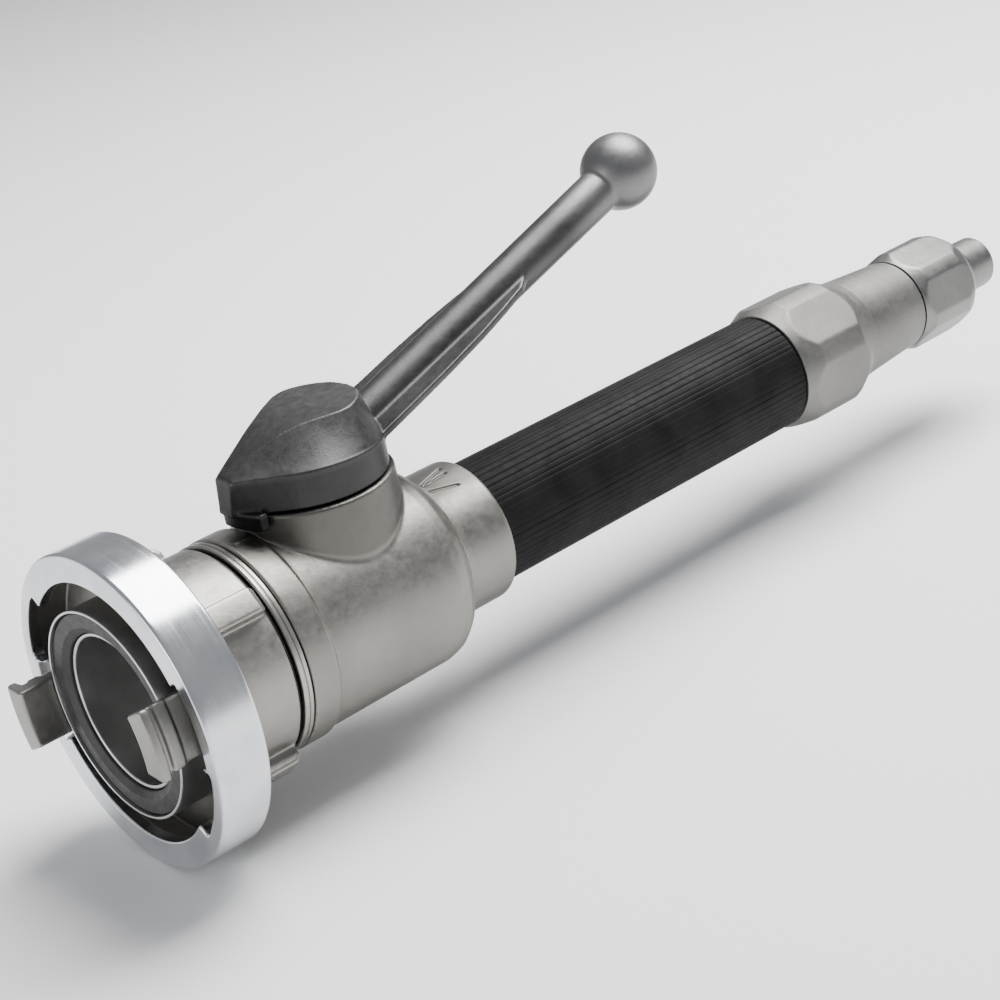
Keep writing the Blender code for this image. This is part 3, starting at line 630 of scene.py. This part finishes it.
def body_distance():
    outer = section([
        (BODY_FRONT, 8), (BODY_FRONT, BODY_FLANGE_R, 0.7), (53.8, BODY_FLANGE_R, 0.8),
        (54.8, BODY_R + 0.1, 0.6), (102.5, BODY_R, 4), (106.2, 32.2, 3), (109.0, 30.3, 2.5),
        (110.9, 27.6, 2), (112.1, 25.4, 1.5), (113.6, COLLAR_R + 0.4, 1.5), (116.0, COLLAR_R, 1.0),
        (BODY_END, COLLAR_R, 1.6), (BODY_END, 8)])
    boss = section([(15, -8), (15, BOSS_R + 0.4), (34, BOSS_R + 0.15), (BOSS_TOP, BOSS_R, 0.9),
                    (BOSS_TOP, -8)])
    hollow = section([(40, -8), (40, CAVITY_R), (SHOULDER, CAVITY_R), (SHOULDER, 19.5),
                      (108, SOCKET_R), (BODY_END + 5, SOCKET_R), (BODY_END + 5, -8)])

    def distance(x, y, z):
        radius, angle = np.hypot(y, z), np.degrees(np.arctan2(z, y))
        round_stem = np.hypot(x - STEM_X, y)
        solid = soft_min(outer(x, radius), boss(z, round_stem), 0.8)
        for (start, end), surface in groove_lines():
            line = mark_distance(x, angle, start, end, surface)
            floor = surface - MARK_DEPTH - radius
            solid = soft_max(solid, -soft_max(line, floor, 0.2), 0.25)
        solid = np.maximum(solid, -hollow(x, radius))
        step_height, wide_r = STEM_BORE_STEP
        bore = np.where(z < step_height, wide_r, STEM_BORE_R)
        return np.maximum(solid, -np.where(z > 0, np.maximum(round_stem - bore, 15 - z), 1.0))
    return distance


def build_body():
    points, faces = net_round_x(
        body_distance(), 400, np.arange(BODY_FRONT - 2, BODY_END + 2, 0.52),
        np.arange(SOCKET_R - 1.5, 50, 0.52))
    add_piece("valve_body_fine", points, faces, BODY_METAL, "branchpipe", "cast_aluminium",
              "valve_body")


# ---- lever -----------------------------------------------------------------------------------
def teardrop(inset=0.0):
    """The hub's outline from above: a narrow tip, tangents, and an arc round the stem."""
    tip_x, half = HUB_TIP_X + inset, HUB_TIP_HALF - inset / 2
    reach = math.hypot(STEM_X - tip_x, half)
    touch = math.degrees(math.atan2(half, tip_x - STEM_X) - math.acos((HUB_R - inset) / reach))
    turns = np.radians(np.linspace(touch, -touch, 61))
    back = np.stack([STEM_X + (HUB_R - inset) * np.cos(turns), (HUB_R - inset) * np.sin(turns)], 1)
    flank = np.linspace(tip_x, back[0, 0], 12)[:-1]
    flank = np.stack([flank, np.linspace(half, back[0, 1], 12)[:-1]], 1)
    outline = np.concatenate([flank, back, [(tip_x, -half)]])
    drawn_in = np.interp(outline[:, 0], *HUB_FAR_SIDE) - inset
    far = (outline[:, 1] > 0) & (outline[:, 0] < HUB_FAR_SIDE[0][-1])
    outline[far, 1] = np.minimum(outline[far, 1], drawn_in[far])
    return outline


def smooth_line(u, line):
    """A smooth curve through a line's points, flat past its ends."""
    at, value = (np.array(part, float) for part in line)
    slope = np.gradient(value, at)
    u = np.clip(u, at[0], at[-1])
    i = np.clip(np.searchsorted(at, u) - 1, 0, len(at) - 2)
    run = at[i + 1] - at[i]
    t = (u - at[i]) / run
    return (value[i] * (1 + 2 * t) * (1 - t) ** 2 + value[i + 1] * t * t * (3 - 2 * t)
            + run * t * (1 - t) * (slope[i] * (1 - t) - slope[i + 1] * t))


def ridge():
    """The outline of the hub's narrow top face."""
    start, end = RIDGE_HALF[0][0], RIDGE_HALF[0][-1]
    along = np.concatenate([np.linspace(start, 95, 50), np.linspace(95, end, 21)[1:]])
    width = np.maximum(smooth_line(along, RIDGE_HALF), 0)
    return np.concatenate([np.stack([along, width], 1), np.stack([along, -width], 1)[::-1]])


def hub_height(x, y):
    """The height of the hub's top: a rising ridge face, and sides that fall to the crease."""
    top = smooth_line(x, RIDGE_HEIGHT)
    share = np.clip((x - HUB_TIP_X) / HUB_LENGTH, 0, 1)
    crease = CREASE + 1.6 * np.sin(math.pi * share) - 2.6 * share
    to_ridge = np.maximum(polygon_distance(x, y, ridge()), 0)
    to_edge = np.maximum(-polygon_distance(x, y, teardrop(0.5)), 0)
    fall = to_ridge / np.maximum(to_ridge + to_edge, 1e-6)
    height = top + (crease - top) * fall
    for axis in (0, 1):      # takes the sharpness off the ridge's edge
        height = sum(np.roll(height, shift, axis) for shift in (-1, 0, 1)) / 3
    return height


def bar_distance(x, y, z):
    """The round bar, and the flat fins at its sides that narrow towards the knob."""
    reach = KNOB - BAR_ROOT
    length = float(np.linalg.norm(reach))
    direction = reach / length
    share = ((x - BAR_ROOT[0]) * direction[0] + (z - BAR_ROOT[2]) * direction[2]) / length
    away = (z - BAR_ROOT[2]) * direction[0] - (x - BAR_ROOT[0]) * direction[2]
    held = np.clip(share, 0, 1)
    from_line = np.sqrt(y ** 2 + away ** 2 + ((share - held) * length) ** 2)
    bar = from_line - (BAR_R + BAR_SWELL * held)
    fin = soft_max(np.abs(y) - np.interp(held * length, *FIN_HALF), np.abs(away) - 1.1, 0.4)
    fin = soft_max(fin, np.abs(share * length - FIN_LENGTH / 2) - FIN_LENGTH / 2, 0.4)
    return soft_min(bar, fin, 1.2)


def lug_distance(x, y, z, round_stem):
    """The stop lug under the hub's tip, curved round the stem."""
    lug = soft_max(np.abs(round_stem - LUG_R) - 1.4, np.abs(y + 4.6) - 7.9, 0.8)
    return np.maximum(soft_max(lug, np.abs(z - LUG_Z) - 2.6, 0.7), x - STEM_X)


def lever_distance():
    """The whole lever. Its underside is plain: the stop track is only in the CAD lever."""
    low, high, step = (44, -30), (110, 30), 0.15
    height = Table(low, high, step, hub_height)
    slope_x, slope_y = np.gradient(height.values, step)
    steep = Table(low, high, step, lambda u, v: 1 / np.sqrt(1 + slope_x ** 2 + slope_y ** 2))
    plan = Table(low, high, step, lambda u, v: polygon_distance(u, v, teardrop()))

    def distance(x, y, z):
        over = (z - height(x, y)) * steep(x, y)
        lean = HUB_TIP_X + (z - HUB_BOTTOM) * 0.12 - x
        hub = soft_max(soft_max(soft_max(plan(x, y), lean, 0.5), over, 0.8), HUB_BOTTOM - z, 0.5)
        outside = np.maximum(np.maximum(low[0] - x, x - high[0]), np.abs(y) - high[1])
        hub = np.maximum(hub, outside)
        knob = np.sqrt((x - KNOB[0]) ** 2 + y ** 2 + (z - KNOB[2]) ** 2) - KNOB_R
        solid = soft_min(soft_min(hub, bar_distance(x, y, z), 0.9), knob, 0.9)
        round_stem = np.hypot(x - STEM_X, y)
        solid = soft_min(solid, lug_distance(x, y, z, round_stem), 1.2)
        drive = np.maximum(np.maximum(np.abs(x - STEM_X), np.abs(y)) - DRIVE_HALF, z - DRIVE_TOP)
        screw = np.maximum(np.hypot(x - STEM_X, z - SCREW_Z) - SCREW_R, 5 - y)
        return soft_max(np.maximum(solid, -drive), -screw, 0.4)
    return distance


def build_lever():
    along = np.concatenate([np.arange(47, 108, 0.45), np.arange(108, 204, 0.8),
                            np.arange(204, lever_high[0] + 2, 0.5)])
    points, faces = net_box(lever_distance(), along, np.arange(-31.5, 31.5, 0.45),
                            np.arange(34, lever_high[2] + 2, 0.45))
    add_piece("lever_fine", points, faces, LEVER_METAL, "valve_lever", "dark_casting", "lever")


# ---- grip, spray head and mouthpiece ---------------------------------------------------------
def build_grip():
    rng = np.random.default_rng(7)
    depth = 0.14 + 0.5 * rng.random(GRIP_RIBS) ** 2
    wide = 0.75 + 0.5 * rng.random(GRIP_RIBS)
    edges = np.concatenate([[0], np.cumsum(wide)]) / wide.sum() * 360

    def ribs(angle, along, radius):
        index = np.clip(np.searchsorted(edges, angle, side="right") - 1, 0, GRIP_RIBS - 1)
        share = (angle - edges[index]) / (edges[index + 1] - edges[index])
        crest = np.sqrt(np.maximum(1 - (2 * share - 1) ** 4, 0))
        outer = radius > GRIP_R - 1.2
        return np.where(outer, radius - depth[index] * (1 - crest), radius)

    grip = spun([(GRIP_START, SOCKET_R), (GRIP_START, GRIP_R, 0.5), (GRIP_END, GRIP_R, 0.5),
                 (GRIP_END, SOCKET_R)], segments=GRIP_RIBS * 14, longest=12, shape=ribs)
    add_piece("grip_sleeve_fine", *grip, GRIP_RUBBER, "branchpipe", "grip_plastic", "grip_sleeve")


def hexagonal(flat_radius, flat_angle):
    """Cuts a turned piece to a hexagon, with its edges a little rounded."""
    def shape(angle, along, radius):
        off = np.radians((angle - flat_angle + 30) % 60 - 30)
        return soft_min(radius, flat_radius / np.cos(off), 0.3)
    return shape


def build_head():
    spigot_end = 355.5
    head = spun([
        (HEAD_START, SOCKET_R), (HEAD_START, 20.8, 0.4), (280.0, HEX_R, 1.2), (301.0, HEX_R, 1.2),
        (304.5, 22.0, 1.5), (309.0, 19.8, 3), (313.0, 18.8, 3), (318.0, 18.3, 3), (337.0, 17.0, 3),
        (JOINT_X - 0.3, 16.7, 0.5), (JOINT_X - 0.3, 14.0), (spigot_end, 14.0),
        (spigot_end, 11.6), (337.0, 11.6), (333.0, 14.9), (298.0, 14.9), (298.0, SOCKET_R)],
        segments=360, longest=0.6, shape=hexagonal(HEX_FLAT, HEX_ANGLE))
    add_piece("spray_head_fine", *head, HEAD_METAL, "branchpipe", "cast_aluminium", "spray_head")


def build_mouthpiece():
    mouth = spun([
        (JOINT_X + 0.3, 14.3), (JOINT_X + 0.3, 16.7, 0.3), (346.6, SMALL_HEX_R, 0.8),
        (366.0, SMALL_HEX_R, 1.5), (369.4, 17.8, 1.5), (372.4, 15.8, 1.5), (374.6, 13.0, 1.5),
        (376.4, 11.0, 1.5), (379.0, 9.9, 1.5), (TIP_X, 9.7, 0.8), (TIP_X, JET_R, 0.6),
        (383.0, JET_R, 2), (366.0, 10.2, 2), (358.0, 13.0), (358.0, 14.3)],
        segments=360, longest=0.6, shape=hexagonal(SMALL_HEX_FLAT, SMALL_HEX_ANGLE))
    add_piece("mouthpiece_fine", *mouth, MOUTH_METAL, "mouth", "grey_aluminium", "mouthpiece")


# ---- inner CAD nodes that keep their mesh ----------------------------------------------------
INNER_FINISHES = {
    "valve_ball": STEEL, "valve_stem": STEEL, "stop_pin": STEEL, "lever_grub_screw": STEEL,
    "seat_front": SEAT_PLASTIC, "seat_rear": SEAT_PLASTIC, "stem_washer": SEAT_PLASTIC,
    "stem_o_ring_lower": SEAL_RUBBER, "stem_o_ring_upper": SEAL_RUBBER,
    "barrel_gasket_rear": SEAL_RUBBER, "barrel_gasket_front": SEAL_RUBBER,
    "mouthpiece_o_ring": SEAL_RUBBER, "tube_carrier": BRASS, "swirl_body": BRASS,
    "nozzle_insert": BRASS, "inner_tube": TUBE_METAL, "barrel_tube": TUBE_METAL,
}


def finish_inner_nodes():
    for node, finish in INNER_FINISHES.items():
        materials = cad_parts[node].data.materials
        materials.clear()
        materials.append(finish)


# ---- stage -----------------------------------------------------------------------------------
def build_floor():
    half, height = 3.0, ring_low[2] * MM - 0.0006
    mesh = bpy.data.meshes.new("floor")
    mesh.from_pydata([(-half, -half, height), (half, -half, height), (half, half, height),
                      (-half, half, height)], [], [(0, 1, 2, 3)])
    finish = Finish("pale_floor", 0.85, 0.0)
    tone = finish.mixed(finish.noise(3), rgb(0.90, 0.90, 0.90), rgb(0.93, 0.93, 0.93))
    mesh.materials.append(finish.use(colour=tone))
    floor = bpy.data.objects.new("floor", mesh)
    bpy.context.scene.collection.objects.link(floor)


def soft_light(name, place, target, size, power):
    data = bpy.data.lights.new(name, "AREA")
    data.shape, data.size, data.size_y = "RECTANGLE", size[0], size[1]
    data.energy = power
    light = bpy.data.objects.new(name, data)
    light.location = place
    light.rotation_mode = "QUATERNION"
    light.rotation_quaternion = (Vector(target) - Vector(place)).to_track_quat("-Z", "Y")
    bpy.context.scene.collection.objects.link(light)


def build_lights():
    world = bpy.data.worlds.new("studio")
    world.use_nodes = True
    sky = world.node_tree.nodes["Background"]
    sky.inputs["Color"].default_value = rgb(0.93, 0.95, 1.0)
    sky.inputs["Strength"].default_value = 0.46
    bpy.context.scene.world = world
    soft_light("key", (0.75, 0.05, 1.15), (0.1, 0, 0), (1.0, 1.0), 50)
    soft_light("front", (-1.3, 0.1, 0.25), (0, 0, 0), (0.9, 0.5), 7)


def build_camera():
    data = bpy.data.cameras.new("camera")
    data.lens, data.sensor_width = 79.6, 36.0
    camera = bpy.data.objects.new("camera", data)
    right = Vector((0.73636, -0.65423, -0.17251))
    back = Vector((-0.55549, -0.73014, 0.39790))
    up = back.cross(right)
    camera.matrix_world = Matrix.Translation((-0.24396, -0.51498, 0.28446)) @ Matrix(
        (right, up, back)).transposed().to_4x4()
    data.clip_start, data.clip_end = 0.01, 20
    bpy.context.scene.collection.objects.link(camera)
    bpy.context.scene.camera = camera


build_camera()
build_lights()
build_floor()
build_coupling()
build_body()
build_lever()
build_grip()
build_head()
build_mouthpiece()
finish_inner_nodes()
